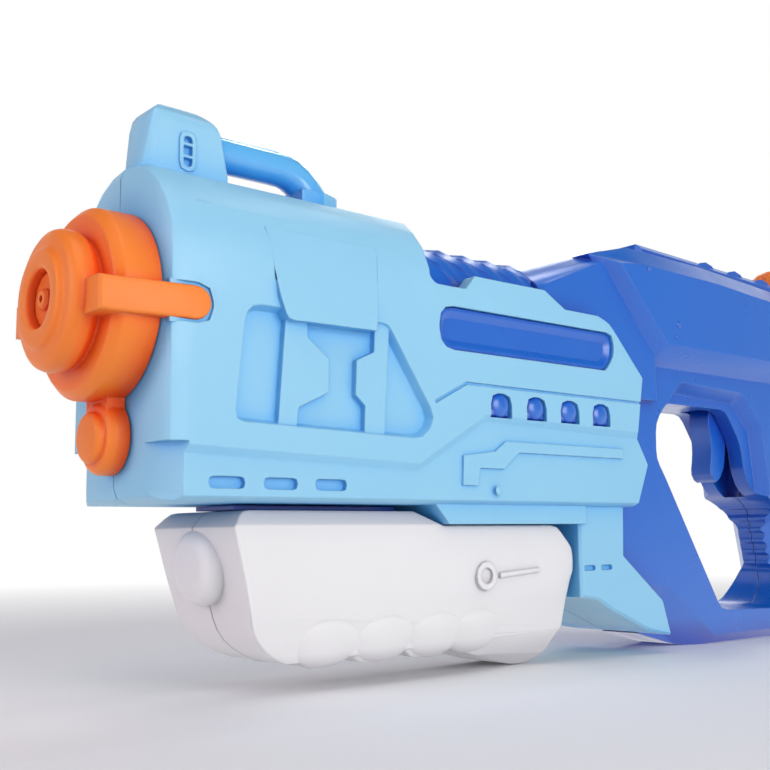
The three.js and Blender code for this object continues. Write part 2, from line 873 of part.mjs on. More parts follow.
function waterTank() {
  const half = cut(
    bevelledHalf(tankPoints, tankHalf, 4, 4),
    across(inset(tankPoints, wall), -tankHalf + wall, 1),
  );
  const body = union(half, mirrored(half), across(tankPoints, -0.3, 0.3));
  const hollow = across(inset(tankPoints, wall), -tankHalf + wall + 4, tankHalf - wall - 4);
  const neck = moved(rod(neckRadius, 34, neckTop, 'z', 20), neckX, 0, 0);
  const bore = moved(rod(neckBore, 20, neckTop + 1, 'z', 20), neckX, 0, 0);
  const outlets = [
    moved(rod(tubeBore, coverLength + 25, coverLength + 40, 'x', 8), 0, 0, 24),
    moved(rod(1.5, coverLength + 25, coverLength + 40, 'x', 8), 0, 10.5, 20),
  ];
  return cut(union(body, neck), hollow, bore, ...outlets);
}

function fillerCap() {
  const shape = new THREE.Shape();
  const lobes = 15;
  const steps = lobes * 3;
  for (let i = 0; i < steps; i += 1) {
    const angle = (i / steps) * 2 * Math.PI;
    const radius = capRadius - (i % 3 === 0 ? 1 : 0);
    const method = i === 0 ? 'moveTo' : 'lineTo';
    shape[method](radius * Math.cos(angle), radius * Math.sin(angle));
  }
  shape.closePath();
  const geometry = new THREE.ExtrudeGeometry(shape, { ...flat, depth: capSkirt });
  const skirt = solid(geometry.translate(0, 0, capTop - 2 - capSkirt));
  const top = turned([
    [0, capTop - 3],
    [capRadius - 1.2, capTop - 3],
    [capRadius - 1.2, capTop - 1.2],
    [capRadius - 2.6, capTop],
    [0, capTop],
  ], 'z', 30);
  const hollow = rod(neckRadius + 0.6, 40, capTop - 3.2, 'z', 20);
  return moved(cut(union(skirt, top), hollow), neckX, 0, 0);
}

// The pump handle in side view, with its leaning front, its shoulder and three finger humps
const pumpPoints = [
  [24, pumpTop - 4.5],
  [28, pumpTop, 2],
  [89.5, pumpTop],
  [99.5, pumpRearTop],
  [chinFront - 10, pumpRearTop, 3],
  [chinFront - 2, -67, 2],
  [chinFront - 1.2, -75, 3],
  [chinFront - 9.5, -91],
  [chinFront - 16, -103, 4],
  [chinFront - 25, -104, 4],
  [116, pumpBottom - 1.6, 4],
  [109.5, pumpBottom + 2.4, 3],
  [99, pumpBottom - 1.4, 4],
  [93, pumpBottom - 1.4, 3],
  [88, pumpBottom + 2.4, 3],
  [79, pumpBottom - 1.4, 4],
  [73, pumpBottom - 1.4, 3],
  [67.5, pumpBottom + 2, 3],
  [60, pumpBottom - 1.2, 4],
  [44, pumpBottom + 0.6, 10],
  [32.5, -90, 8],
];

// The room inside runs straight above the finger humps
const pumpRoomPoints = [
  [24, pumpTop - 4.5],
  [28, pumpTop],
  [89.5, pumpTop],
  [99.5, pumpRearTop],
  [chinFront - 10, pumpRearTop],
  [chinFront - 2, -67],
  [chinFront - 1.2, -75],
  [chinFront - 14, pumpBottom],
  [chinFront - 33, pumpBottom + 2.4],
  [46, pumpBottom + 2.4],
  [32.5, -89],
];

// The handle's front view: flat sides, chamfered top edges and a round keel, taken in by a distance
function pumpSection(distance) {
  const half = pumpHalf - distance;
  const top = pumpTop + 2 - distance;
  const bottom = -105 + distance;
  const shape = new THREE.Shape();
  shape.moveTo(half - 4, top);
  shape.lineTo(4 - half, top);
  shape.lineTo(-half, top - 6);
  shape.lineTo(-half + 0.6, -74);
  shape.bezierCurveTo(-half + 1.5, -86, -half + 6, bottom + 4, -7, bottom);
  shape.lineTo(7, bottom);
  shape.bezierCurveTo(half - 6, bottom + 4, half - 1.5, -86, half - 0.6, -74);
  shape.lineTo(half, top - 6);
  shape.closePath();
  return shape;
}

const fingerValleys = [44, 67.5, 88, 109.5];

function buildPumpHalf() {
  const bossZ = -70;
  const outer = across(pumpPoints, -pumpHalf - 1, -seam)
    .intersect(along(pumpSection(0), 0, chinFront + 10, 0, 4));
  const inner = across(inset(pumpRoomPoints, wall), -pumpHalf, 1)
    .intersect(along(pumpSection(wall), 0, chinFront + 10, 0, 2));
  const dome = [[0, 23.2], [7.6, 23.2], [10, 24.4], [11, 26.8], [11, 30], [0, 30]];
  const boss = moved(turned(dome, 'x', 24), 0, 0, bossZ);
  const markX = chinFront - 43.8;
  const mark = moved(ring(4.6, 2.6, -pumpHalf - 0.2, -pumpHalf + 3, 'y'), markX, 0, -75.2);
  const ridgePoints = [[markX + 6, -74.4], [markX + 25, -73.2], [markX + 25, -74.6], [markX + 6, -76]];
  const ridge = across(ridgePoints, -pumpHalf - 0.2, -pumpHalf + 3);
  const rodSeat = moved(rod(7, 24, 32, 'x'), 0, 0, pumpAxisZ);
  let half = union(cut(outer, inner), mark, ridge);
  pumpScrews.forEach(([x, z]) => {
    half = half.add(moved(rod(bossRadius, -12, -seam, 'y', 8), x, 0, z));
  });
  half = half.add(cut(union(boss, rodSeat), box(0, 60, -seam, 30, -100, 0)));
  fingerValleys.forEach((x) => {
    const groove = turned([[0, -83], [8.8, -105], [0, -105]], 'z', 16);
    half = cut(half, moved(groove, x, -pumpHalf + 1.2, 0));
  });
  const slotRear = railRear + pumpStroke + 2;
  return cut(
    half,
    box(railFront - 2, slotRear, -webHalf - 0.5, 1, pumpRearTop - wall - 0.5, pumpTop + 5),
    moved(rod(cylinderRadius + 0.6, chinFront - 35, chinFront + 10, 'x', 20), 0, 0, pumpAxisZ),
    moved(rod(rodRadius + gap, 23, 40, 'x'), 0, 0, pumpAxisZ),
  );
}

function pumpRail() {
  const top = coverFloor - gap;
  const plate = box(railFront - 3, stepFront, -10, 10, pumpTop + gap, top);
  const web = box(railFront, railRear, -webHalf, webHalf, pumpAxisZ, top);
  const flange = box(railFront, railFront + 3, -9, 9, pumpTop - wall - 2.4, pumpTop - wall - 0.4);
  const collar = moved(rod(cylinderRadius + 2.4, railFront, railRear, 'x', 20), 0, 0, pumpAxisZ);
  const bore = moved(rod(cylinderRadius + gap, railFront - 5, railRear + 5, 'x', 20), 0, 0, pumpAxisZ);
  return cut(union(plate, web, flange, collar), bore);
}

function pumpCylinder() {
  return moved(ring(cylinderRadius, cylinderBore, cylinderFront, cylinderRear, 'x', 20), 0, 0, pumpAxisZ);
}

const onPumpAxis = (made) => moved(made, 0, 0, pumpAxisZ);
const pistonRear = cylinderRear - 12;

// The air hose runs from the pump's end cap up the column to the tank, in a room of its own
const airRadius = 2.5;
const airSteps = 12;
const airPath = [
  [cylinderRear + 6.5, 0, pumpAxisZ],
  [cylinderRear + 9, 0, pumpAxisZ],
  [coverLength - 5, 0, -69.5],
  [coverLength + 4, 1, -61],
  [coverLength + 13, 5, -50],
  [coverLength + 18, 10, -34],
  [coverLength + 19, 10.5, -10],
  [coverLength + 20, 10.5, 10],
  [coverLength + 24, 10.5, 18.5],
  [coverLength + 31.2, 10.5, 20],
];
const airRoom = hose(airPath, airRadius + 2 * gap, 0, airSteps, 3);

// Build the halves, cut their screw holes and place every piece
const coverLeft = buildCoverHalf();
const [coverRight, coverLeftDrilled] = addScrews('cover', coverScrews, 8, mirrored(coverLeft), coverLeft);
place('cover_left', cut(coverLeftDrilled, airRoom), skyBlue);
place('cover_right', cut(coverRight, airRoom), skyBlue);
place('sight_loop', sightLoop(), skyBlue);
place('nozzle_cap', nozzleCap(), orange);
place('nozzle_jet', nozzleJet(), orange);
place('barrel_jacket', jacket(), deepBlue);
const badge = badgePlate();
place('badge_plate_left', badge, deepBlue);
place('badge_plate_right', mirrored(badge), deepBlue);
const vents = ventStrip();
place('vent_strip_left', vents, deepBlue);
place('vent_strip_right', mirrored(vents), deepBlue);

const bodyLeft = buildBodyHalf();
const [bodyRight, bodyLeftDrilled] = addScrews('body', bodyScrews, 8, mirrored(bodyLeft), bodyLeft);
place('body_left', cut(bodyLeftDrilled, airRoom), deepBlue);
place('body_right', cut(bodyRight, airRoom), deepBlue);
place('water_tank', waterTank(), clearGrey);
const capSeal = ring(neckRadius, neckBore, neckTop + gap, capTop - 3.5, 'z', 20);
place('cap_seal', moved(capSeal, neckX, 0, 0), rubber);
place('filler_cap', fillerCap(), orange);

const triggerBlade = across(triggerPoints, -triggerHalf, triggerHalf);
const pinHole = moved(rod(pinRadius + gap, -20, 20, 'y', 10), pivotX, 0, pivotZ);
place('trigger', cut(triggerBlade, pinHole), deepBlue);
place('trigger_pin', moved(rod(pinRadius, -9.5, 9.5, 'y', 10), pivotX, 0, pivotZ), steel);

const valveBlock = cut(
  box(valveFront, valveRear, -valveHalf, valveHalf, valveFloor, valveTop),
  moved(rod(plungerRadius + gap, valveFront + 6, valveRear + 1, 'x'), 0, 0, valveZ),
  moved(rod(tubeBore, valveFront - 1, valveFront + 7, 'x', 8), 0, 0, valveZ),
  moved(rod(tubeBore, valveZ, valveTop + 1, 'z', 8), valveFront + 9, 0, 0),
);
place('valve_body', valveBlock, clearGrey);
const plungerRear = pivotX - 10;
const collarFront = valveRear + 16;
const plunger = turned([
  [0, valveFront + 10],
  [plungerRadius, valveFront + 10],
  [plungerRadius, collarFront],
  [plungerCollar, collarFront],
  [plungerCollar, collarFront + 3],
  [plungerRadius, collarFront + 3],
  [plungerRadius, plungerRear],
  [0, plungerRear],
], 'x', 12);
place('valve_plunger', moved(plunger, 0, 0, valveZ), steel);
const springTurns = 6;
const springPoints = [];
for (let i = 0; i <= springTurns * 6; i += 1) {
  const angle = (i / 6) * 2 * Math.PI;
  const x = valveRear + 1 + (i / (springTurns * 6)) * 11.6;
  springPoints.push([x, 3 * Math.sin(angle), valveZ + 3 * Math.cos(angle)]);
}
place('valve_spring', hose(springPoints, 0.5, 0, springTurns * 6, 2), steel);

place('barrel_tube', hose([
  [valveFront - gap, 0, valveZ],
  [coverLength, 0, valveZ],
  [coverLength - 40, 0, valveZ * 0.65],
  [coverLength - 90, 0, valveZ * 0.2],
  [60, 0, 0],
  [spigotDepth + 1, 0, 0],
], tubeRadius, tubeBore, 8, 3), clearGrey);
const feedX = valveFront + 9;
place('feed_tube', hose([
  [coverLength + 31.3, 0, 24],
  [feedX + 5, 0, 23.4],
  [feedX + 1, 0, 19],
  [feedX, 0, 12],
  [feedX, 0, valveTop + gap],
], tubeRadius, tubeBore, 6, 3), clearGrey);
place('air_hose', hose(airPath, airRadius, airRadius - 1, airSteps, 3), clearGrey);

const pumpLeft = buildPumpHalf();
const [pumpRight, pumpLeftDrilled] = addScrews('pump', pumpScrews, 10, mirrored(pumpLeft), pumpLeft);
place('pump_grip_left', pumpLeftDrilled, white);
place('pump_grip_right', pumpRight, white);
place('pump_rail', pumpRail(), deepBlue);
place('pump_cylinder', pumpCylinder(), clearGrey);
const rodGuide = ring(cylinderBore - gap, rodRadius + gap, cylinderFront, cylinderFront + 6, 'x');
place('rod_guide', onPumpAxis(rodGuide), white);
place('pump_rod', onPumpAxis(rod(rodRadius, 23.5, pistonRear - 6.3, 'x')), steel);
place('piston', onPumpAxis(turned([
  [0, pistonRear - 6],
  [cylinderBore - gap, pistonRear - 6],
  [cylinderBore - gap, pistonRear - 4],
  [5.4, pistonRear - 4],
  [5.4, pistonRear - 2],
  [cylinderBore - gap, pistonRear - 2],
  [cylinderBore - gap, pistonRear],
  [0, pistonRear],
], 'x', 12)), white);
const pistonSeal = ring(cylinderBore - 0.15, 5.7, pistonRear - 3.8, pistonRear - 2.2, 'x');
place('piston_seal', onPumpAxis(pistonSeal), rubber);
place('end_cap', onPumpAxis(turned([
  [1.5, cylinderRear - 6],
  [cylinderBore - gap, cylinderRear - 6],
  [cylinderBore - gap, cylinderRear + gap],
  [cylinderRadius, cylinderRear + gap],
  [cylinderRadius, cylinderRear + 3],
  [3.4, cylinderRear + 3],
  [3.4, cylinderRear + 6],
  [1.5, cylinderRear + 6],
  [1.5, cylinderRear - 6],
], 'x', 12)), white);
place('check_valve', onPumpAxis(rod(5.5, cylinderRear - 7.6, cylinderRear - 6.3, 'x')), rubber);

toy.position.set(-(muzzleX + buttX) / 2, 0, -baseFloor);

export default toy;
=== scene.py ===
# %% [markdown]
# A pump-action water squirter, finished for a studio picture.
# The imported model is loaded first and stays fixed: every finish and every new piece is laid on it.

import json
import math

import bmesh
import bpy
from mathutils import Matrix, Vector


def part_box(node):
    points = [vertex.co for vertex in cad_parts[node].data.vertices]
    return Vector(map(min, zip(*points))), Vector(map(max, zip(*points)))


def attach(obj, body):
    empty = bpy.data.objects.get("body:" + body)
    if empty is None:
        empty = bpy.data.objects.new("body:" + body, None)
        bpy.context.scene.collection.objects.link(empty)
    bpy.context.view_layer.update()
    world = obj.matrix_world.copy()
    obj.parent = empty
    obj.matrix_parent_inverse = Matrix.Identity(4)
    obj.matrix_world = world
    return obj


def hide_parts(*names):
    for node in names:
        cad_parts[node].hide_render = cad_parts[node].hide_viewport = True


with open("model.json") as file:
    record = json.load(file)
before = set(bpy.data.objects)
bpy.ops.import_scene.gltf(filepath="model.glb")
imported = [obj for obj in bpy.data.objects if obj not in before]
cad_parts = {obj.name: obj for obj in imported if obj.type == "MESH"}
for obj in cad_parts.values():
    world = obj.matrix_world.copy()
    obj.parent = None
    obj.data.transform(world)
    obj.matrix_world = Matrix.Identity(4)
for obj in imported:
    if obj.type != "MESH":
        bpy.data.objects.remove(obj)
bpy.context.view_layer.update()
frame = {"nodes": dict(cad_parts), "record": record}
record = frame["record"]
body_of = {node: body for body, nodes in record["behaviour"]["bodies"].items() for node in nodes}
slot_of = {part["node"]: part["material_slot"] for part in record["subparts"]}

# %% [markdown]
# The camera stands low in front of the toy's left side and looks slightly up, about 0.4 m away.
# Its place and turn were found by fitting the casing's straight edges to the photograph.
# The frame is square, so a 36 mm sensor width is also its height.

# %% Camera
camera_data = bpy.data.cameras.new("studio_camera")
camera_data.sensor_width = 36.0
camera_data.lens = 50.91
camera_data.clip_start = 0.01
camera = bpy.data.objects.new("studio_camera", camera_data)
camera.location = (-0.3197, -0.2705, 0.0440)
camera.rotation_euler = [math.radians(angle) for angle in (97.85, 0.624, -39.964)]
bpy.context.collection.objects.link(camera)
bpy.context.scene.camera = camera
print("camera at", [round(v, 3) for v in camera.location])

# %% [markdown]
# A studio sweep: a pale floor that curves up into a pale wall, so no horizon line shows.
# It could be two planes, but then a line would show where they meet.
# One strip of vertices is extruded sideways instead, and the bend is bevelled round.

# %% Floor and backdrop
def new_points(geom):
    """The vertices among what an operator has just made."""
    return [v for v in geom if isinstance(v, bmesh.types.BMVert)]


def studio_sweep():
    reach, height, half_width, bend = 3.0, 3.0, 5.0, 1.2
    mesh = bmesh.new()
    strip = [mesh.verts.new(p) for p in ((-reach, 0, 0), (reach, 0, 0), (reach, 0, height))]
    edges = [mesh.edges.new(pair) for pair in zip(strip, strip[1:])]
    wide = bmesh.ops.extrude_edge_only(mesh, edges=edges)["geom"]
    bmesh.ops.translate(mesh, verts=strip, vec=(0, -half_width, 0))
    bmesh.ops.translate(mesh, verts=new_points(wide), vec=(0, half_width, 0))
    corner = [e for e in mesh.edges if all(abs(v.co.x - reach) + abs(v.co.z) < 1e-6 for v in e.verts)]
    bmesh.ops.bevel(
        mesh, geom=corner, offset=bend, affect="EDGES", segments=24, profile=0.5, material=-1
    )
    wall_behind_toy = Matrix.Rotation(math.radians(50), 4, "Z")
    bmesh.ops.transform(mesh, matrix=wall_behind_toy, verts=mesh.verts)
    bmesh.ops.recalc_face_normals(mesh, faces=mesh.faces)
    return mesh


def make_object(name, mesh, smooth_angle=None):
    """A bmesh becomes an object; with smooth_angle, edges flatter than it are shaded round."""
    if smooth_angle is not None:
        for face in mesh.faces:
            face.smooth = True
        for edge in mesh.edges:
            edge.smooth = edge.is_manifold and edge.calc_face_angle(math.pi) < smooth_angle
    data = bpy.data.meshes.new(name)
    mesh.to_mesh(data)
    mesh.free()
    made = bpy.data.objects.new(name, data)
    bpy.context.collection.objects.link(made)
    return made


sweep = make_object("studio_sweep", studio_sweep(), math.radians(60))
print("sweep faces:", len(sweep.data.polygons))

# %% [markdown]
# Materials are small node trees. The first helper adds a node, sets its inputs and wires sockets, and
# the next ones add the nodes that are needed most: a mix of two colours, a change of range, and one
# number worked out from two. Each finish below then reads as a list of what it is made of.

# %% Node helpers
def add(tree, kind, settings=None, **inputs):
    """Adds one node. An input is a plain value, or another node's output socket.

    An input without a name of its own is called by its number: i0 is the first one.
    """
    node = tree.nodes.new(kind)
    for key, value in (settings or {}).items():
        setattr(node, key, value)
    for key, value in inputs.items():
        numbered = key[0] == "i" and key[1:].isdigit()
        socket = node.inputs[int(key[1:])] if numbered else node.inputs[key]
        if isinstance(value, bpy.types.NodeSocket):
            tree.links.new(value, socket)
        else:
            socket.default_value = value
    return node


def blend(tree, share, first, second):
    """Mixes two colours: a share of 0 is the first one, and a share of 1 the second."""
    return add(tree, "ShaderNodeMix", {"data_type": "RGBA"}, i0=share, i6=first, i7=second).outputs[2]


def remap(tree, value, low, high, start, end):
    """Turns a value from the range low to high into one from start to end."""
    return add(tree, "ShaderNodeMapRange", Value=value, i1=low, i2=high, i3=start, i4=end).outputs[0]


def combine(tree, how, first, second):
    """Works out one number from two: how is MULTIPLY or MAXIMUM."""
    return add(tree, "ShaderNodeMath", {"operation": how}, i0=first, i1=second).outputs[0]


def fresh(name):
    """A new material, its tree and its output node."""
    material = bpy.data.materials.new(name)
    material.use_nodes = True
    tree = material.node_tree
    tree.nodes.clear()
    output = tree.nodes.new("ShaderNodeOutputMaterial")
    return material, tree, output


def linear(red, green, blue, alpha=1.0):
    """A colour as seen on a screen, 0 to 255, turned into the light values that shaders use."""
    def light(value):
        share = value / 255
        return share / 12.92 if share <= 0.04045 else ((share + 0.055) / 1.055) ** 2.4
    return (light(red), light(green), light(blue), alpha)


print("helpers ready, pure white is", linear(255, 255, 255))

# %% [markdown]
# Moulded plastic is not one flat colour. The mould leaves a fine spark-eroded grain, the pigment
# clouds a little where the melt met, handling polishes some places, and corners rub paler. Shade is
# also painted into the hollows, darkening the colour where ambient occlusion is high. Each of these is one
# short chain of nodes on Object coordinates.
# The soft corners come from a bevelled normal, which also tells where the corners are.

# %% Colour of a moulded plastic
def pigment(tree, place, colour, cloud, shade_colour, rub, corner):
    """The colour chain: clouded pigment, painted shade in the hollows, paler on rubbed corners."""
    clouds = add(tree, "ShaderNodeTexNoise", Vector=place, Scale=22.0, Detail=3.0)
    tint = blend(tree, clouds.outputs["Fac"], cloud, colour)
    # Painted shade: ambient occlusion mixes the colour towards a darker shade colour in hollows and
    # crevices.
    occlusion = add(tree, "ShaderNodeAmbientOcclusion", {"samples": 5}, Distance=0.011)
    depth = remap(tree, occlusion.outputs["AO"], 0.98, 0.48, 0.0, 1.0)
    shaded_tint = blend(tree, depth, tint, shade_colour)

    wide = add(tree, "ShaderNodeBevel", {"samples": 4}, Radius=1.6 * corner)
    flat = add(tree, "ShaderNodeNewGeometry").outputs["Normal"]
    turned = add(tree, "ShaderNodeVectorMath", {"operation": "DOT_PRODUCT"}, i0=wide.outputs[0], i1=flat)
    edge = remap(tree, turned.outputs["Value"], 0.985, 0.86, 0.0, 1.0)
    patches = add(tree, "ShaderNodeTexNoise", Vector=place, Scale=180.0, Detail=4.0)
    worn = remap(tree, patches.outputs["Fac"], 0.46, 0.66, 0.06, 0.4)
    return blend(tree, combine(tree, "MULTIPLY", edge, worn), shaded_tint, rub)


def mould_skin(tree, place, corner, grain):
    """The normal chain: soft corners, a slow swell of the wall, and the mould's fine grain."""
    soft = add(tree, "ShaderNodeBevel", {"samples": 6}, Radius=corner)
    swell = add(tree, "ShaderNodeTexNoise", Vector=place, Scale=30.0, Detail=1.0)
    wall = add(
        tree, "ShaderNodeBump", Strength=0.2, Distance=0.0004, Height=swell.outputs["Fac"],
        Normal=soft.outputs[0],
    )
    pits = add(tree, "ShaderNodeTexNoise", Vector=place, Scale=1500.0, Detail=2.0)
    return add(
        tree, "ShaderNodeBump", Strength=0.16 * grain, Distance=0.00004, Height=pits.outputs["Fac"],
        Normal=wall.outputs[0],
    ).outputs[0]


def moulded_plastic(
    name, colour, cloud, shade_colour, rub, rough, grain=1.0, corner=0.0007, gloss=0.0, shine=0.5
):
    """A whole finish: both chains, and smears of handling that change how rough it is."""
    material, tree, output = fresh(name)
    place = add(tree, "ShaderNodeTexCoord").outputs["Object"]
    smears = add(tree, "ShaderNodeTexNoise", Vector=place, Scale=48.0, Detail=5.0, Distortion=0.8)
    polish = remap(tree, smears.outputs["Fac"], 0.3, 0.7, rough - 0.06, rough + 0.06)
    shader = add(tree, "ShaderNodeBsdfPrincipled", Normal=mould_skin(tree, place, corner, grain))
    tree.links.new(pigment(tree, place, colour, cloud, shade_colour, rub, corner), shader.inputs["Base Color"])
    tree.links.new(polish, shader.inputs["Roughness"])
    shader.inputs["IOR"].default_value = 1.5
    shader.inputs["Specular IOR Level"].default_value = shine
    shader.inputs["Coat Weight"].default_value = gloss
    shader.inputs["Coat Roughness"].default_value = 0.22
    tree.links.new(shader.outputs[0], output.inputs["Surface"])
    return material


print("a plastic has two chains: pigment for its colour and mould_skin for its normal")

# %% [markdown]
# The toy is moulded in four colours: pale blue for the casing, deep blue for the receiver, orange for
# the nozzle and the filler cap, and white for the pump handle. The carry bar is the casing's blue, deeper
# and polished. Each could have a tree of its own, but the mould leaves the same marks on all of them, so
# one function with other values makes them all.

# %% The plastics of the toy
# Each plastic's third colour is painted shade, which its hollows and crevices are darkened towards.
sky_plastic = moulded_plastic(
    "sky_plastic", colour=linear(145, 201, 230), cloud=linear(138, 196, 227), shade_colour=linear(84, 170, 230),
    rub=linear(186, 223, 243), rough=0.44, grain=1.2,
)
sky_gloss = moulded_plastic(
    "sky_gloss", colour=linear(98, 182, 236), cloud=linear(90, 175, 233), shade_colour=linear(54, 148, 224),
    rub=linear(160, 212, 243), rough=0.16, grain=0.3, gloss=0.9,
)
deep_plastic = moulded_plastic(
    "deep_plastic", colour=linear(7, 104, 203), cloud=linear(2, 96, 197), shade_colour=linear(0, 58, 172),
    rub=linear(84, 142, 222), rough=0.32, grain=0.8, gloss=0.5, shine=0.6,
)
amber_plastic = moulded_plastic(
    "amber_plastic", colour=linear(243, 134, 52), cloud=linear(240, 126, 46), shade_colour=linear(230, 74, 18),
    rub=linear(250, 176, 120), rough=0.4, shine=0.28,
)
ivory_plastic = moulded_plastic(
    "ivory_plastic", colour=linear(231, 229, 229), cloud=linear(226, 224, 224), shade_colour=linear(194, 191, 196),
    rub=linear(238, 237, 236), rough=0.45, grain=1.2, corner=0.0012, shine=0.38,
)
plastics = (sky_plastic, sky_gloss, deep_plastic, amber_plastic, ivory_plastic)
print("plastics:", [plastic.name for plastic in plastics])

# %% [markdown]
# The tank and the hoses are milky plastic, the seals are dull rubber with a fine bloom, and the pins and
# screws are zinc-plated steel with drawn lines along them. Milky plastic lets some light through, but
# these pieces lie inside, so a pale moulded plastic is enough for them.

# %% Inner finishes
# Here too the third colour is painted shade, which hollows and crevices are darkened towards.
milky_plastic = moulded_plastic(
    "milky_plastic", colour=linear(214, 224, 230), cloud=linear(202, 214, 222), shade_colour=linear(170, 186, 198),
    rub=linear(236, 242, 245), rough=0.28, grain=0.5, gloss=0.4,
)
dull_rubber = moulded_plastic(
    "dull_rubber", colour=linear(34, 34, 37), cloud=linear(27, 27, 30), shade_colour=linear(18, 18, 20),
    rub=linear(74, 74, 78), rough=0.72, grain=2.0, corner=0.0003,
)


def drawn_steel(name):
    material, tree, output = fresh(name)
    place = add(tree, "ShaderNodeTexCoord").outputs["Object"]
    along = add(tree, "ShaderNodeMapping", Vector=place, Scale=(400.0, 4000.0, 4000.0))
    lines = add(tree, "ShaderNodeTexNoise", Vector=along.outputs[0], Scale=1.0, Detail=3.0)
    tone = blend(tree, lines.outputs["Fac"], linear(150, 153, 160), linear(206, 208, 212))
    sheen = remap(tree, lines.outputs["Fac"], 0.2, 0.8, 0.24, 0.42)
    ridges = add(tree, "ShaderNodeBump", Strength=0.12, Distance=0.00005, Height=lines.outputs["Fac"])
    shader = add(tree, "ShaderNodeBsdfPrincipled", Normal=ridges.outputs[0])
    tree.links.new(tone, shader.inputs["Base Color"])
    tree.links.new(sheen, shader.inputs["Roughness"])
    shader.inputs["Metallic"].default_value = 1.0
    tree.links.new(shader.outputs[0], output.inputs["Surface"])
    return material


zinc_steel = drawn_steel("zinc_steel")
finish_of = {
    "casing": sky_plastic,
    "frame_blue": deep_plastic,
    "orange": amber_plastic,
    "handle_white": ivory_plastic,
    "tank_clear": milky_plastic,
    "rubber": dull_rubber,
    "steel": zinc_steel,
}
for name, node in frame["nodes"].items():
    node.data.materials.clear()
    node.data.materials.append(finish_of[slot_of[name]])
print("finishes on", len(frame["nodes"]), "nodes")

# %% [markdown]
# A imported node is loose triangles, so its round walls would show as facets.
# Each shell that shows is copied, its doubled points are merged, and edges flatter than 30 degrees
# are shaded round, while true corners stay crisp. The copy then stands for the node.

# %% Smooth skins for the shown shells
weld_distance = 2e-6


def merged_copy(node):
    mesh = bmesh.new()
    mesh.from_mesh(frame["nodes"][node].data)
    bmesh.ops.remove_doubles(mesh, verts=mesh.verts, dist=weld_distance)
    return mesh


def lay_on(node, mesh, name, smooth_angle):
    """Makes a piece of the mesh that has the node's finish and moves with its body."""
    piece = make_object(name, mesh, smooth_angle)
    piece.data.materials.append(finish_of[slot_of[node]])
    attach(piece, body_of[node])
    return piece


def stand_for(node, mesh, name, smooth_angle=math.radians(30)):
    """Makes such a piece that also takes the node's place."""
    piece = lay_on(node, mesh, name, smooth_angle)
    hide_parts(node)
    return piece


shown = [
    "cover_left", "cover_right", "nozzle_jet", "barrel_jacket",
    "badge_plate_left", "badge_plate_right", "vent_strip_left", "vent_strip_right",
    "body_left", "body_right", "trigger", "trigger_pin",
    "pump_rail", "pump_cylinder", "filler_cap", "water_tank",
]
skins = {node: stand_for(node, merged_copy(node), node + "_skin") for node in shown}
print("skins:", len(skins), "faces:", sum(len(s.data.polygons) for s in skins.values()))

# %% [markdown]
# Three of these skins get a small correction, point by point. The jacket's ribs stand a little higher
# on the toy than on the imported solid. On each cover a corner of a screw boss pokes through the arch, and
# it is drawn in to the arch's radius. Modelling them anew would change more than needs changing.

# %% Higher ribs and a clean arch
rib_foot_z, rib_front_x, rib_growth = 0.116, -0.093, 0.12
for vert in skins["barrel_jacket"].data.vertices:
    rise = vert.co.z - rib_foot_z
    if rise > 0 and vert.co.x > rib_front_x:
        vert.co.z += rib_growth * rise

arch_centre_z, arch_outside, arch_radius = 0.118, 0.02902, 0.0289
drawn_in = 0
for node in ("cover_left", "cover_right"):
    for vert in skins[node].data.vertices:
        lift = vert.co.z - arch_centre_z
        out = math.hypot(vert.co.y, lift)
        if lift > 0 and out > arch_outside:
            vert.co.y *= arch_radius / out
            vert.co.z = arch_centre_z + lift * arch_radius / out
            drawn_in += 1
print("points drawn in to the arch:", drawn_in)

# %% [markdown]
# Places below are in millimetres from the nozzle's axis at the casing's front, because they were read
# from the photograph that way. Four helpers serve the new pieces: one turns such a place into the model's
# metres, one spins a side view round an axis along X, one welds the result, and one adds the mirror image
# on the other side. The side view's corners are bevelled before the spin, so every rim comes out round,
# and 96 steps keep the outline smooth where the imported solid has 28.

# %% Helpers for new pieces
nozzle_x, nozzle_z = -187.5, 106


def toy(x, y, z):
    """A place in millimetres from the nozzle, as a place in the model."""
    return Vector(((x + nozzle_x) / 1000, y / 1000, (z + nozzle_z) / 1000))


def spun(mesh, side_view, axis_z, round_off, steps=96):
    """Spins (radius, x) points round an axis at height axis_z; the path starts and ends on the axis."""
    centre = toy(0, 0, axis_z)
    points = [mesh.verts.new(toy(x, 0, axis_z + radius)) for radius, x in side_view]
    edges = [mesh.edges.new(pair) for pair in zip(points, points[1:])]
    inner = [v for v, (radius, _) in zip(points, side_view) if radius > 0]
    soft = bmesh.ops.bevel(
        mesh, geom=inner, offset=round_off, affect="VERTICES", segments=2, profile=0.5, material=-1
    )
    kept = [e for e in edges if e.is_valid] + list(soft["edges"])
    path = list(dict.fromkeys(kept + [e for v in soft["verts"] for e in v.link_edges]))
    line = list(dict.fromkeys(v for e in path for v in e.verts)) + path
    bmesh.ops.spin(
        mesh, geom=line, cent=centre, axis=(1, 0, 0), dvec=(0, 0, 0), angle=2 * math.pi, steps=steps,
        use_merge=True,
    )


def weld(mesh):
    """Merges doubled points and turns the faces outwards."""
    bmesh.ops.remove_doubles(mesh, verts=mesh.verts, dist=weld_distance)
    bmesh.ops.recalc_face_normals(mesh, faces=mesh.faces)


def add_mirror_image(mesh):
    """Adds the mirror image across the middle plane, without joining the two."""
    everything = list(mesh.faces) + list(mesh.edges) + list(mesh.verts)
    bmesh.ops.mirror(mesh, geom=everything, axis="Y", merge_dist=-1)


print("the nozzle's axis leaves the front at", [round(v, 4) for v in toy(-23, 0, 0)])

# %% [markdown]
# The orange nozzle: a wide ring against the casing, a stepped disc in front of it, a round knob
# below on a short neck, and two flat tongues that reach back over the casing. On the toy it is one
# moulding. The round forms are spun. A tongue starts as one flat outline, which is extruded into a bar and
# bevelled, and its mirror image is the other one.

